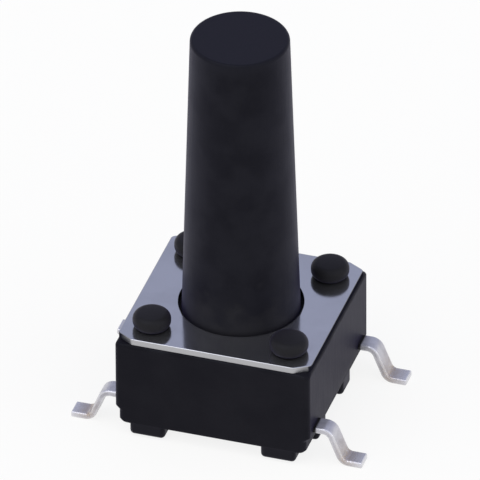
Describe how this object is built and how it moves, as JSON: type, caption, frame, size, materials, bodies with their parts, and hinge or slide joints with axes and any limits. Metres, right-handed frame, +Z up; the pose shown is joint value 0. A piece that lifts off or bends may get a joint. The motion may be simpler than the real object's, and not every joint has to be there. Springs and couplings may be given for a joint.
{
  "type": "tactile push button switch",
  "caption": "Square surface-mount tactile switch with a long tapered round button, a staked flat metal cover and gull-wing solder leads.",
  "frame": {"origin": "the middle of the base on the solder plane, the flat undersides of the four solder feet", "axes": "+Z is up along the button's axis; the leads leave the base towards -X and +X"},
  "size_m": [0.0092, 0.006, 0.013],
  "materials": {
    "base_plastic": "moulded black, fine matte grain",
    "cover_metal": "bright plated steel sheet, near mirror",
    "button_plastic": "moulded black, satin",
    "dome_metal": "spring steel, bright",
    "lead_metal": "matte tin plate over copper alloy"
  },
  "bodies": {
    "housing": {"base": "base_plastic", "cover_plate": "cover_metal", "contact_dome": "dome_metal", "centre_terminal": "lead_metal", "rim_terminal": "lead_metal"},
    "button": {"plunger": "button_plastic"}
  },
  "joints": [
    {"name": "button_press", "type": "slide", "parent": "housing", "child": "button", "axis": [0, 0, -1], "range_m": [0, 0.00025], "stiffness_N_per_m": 6400, "deforming": ["contact_dome"]}
  ]
}
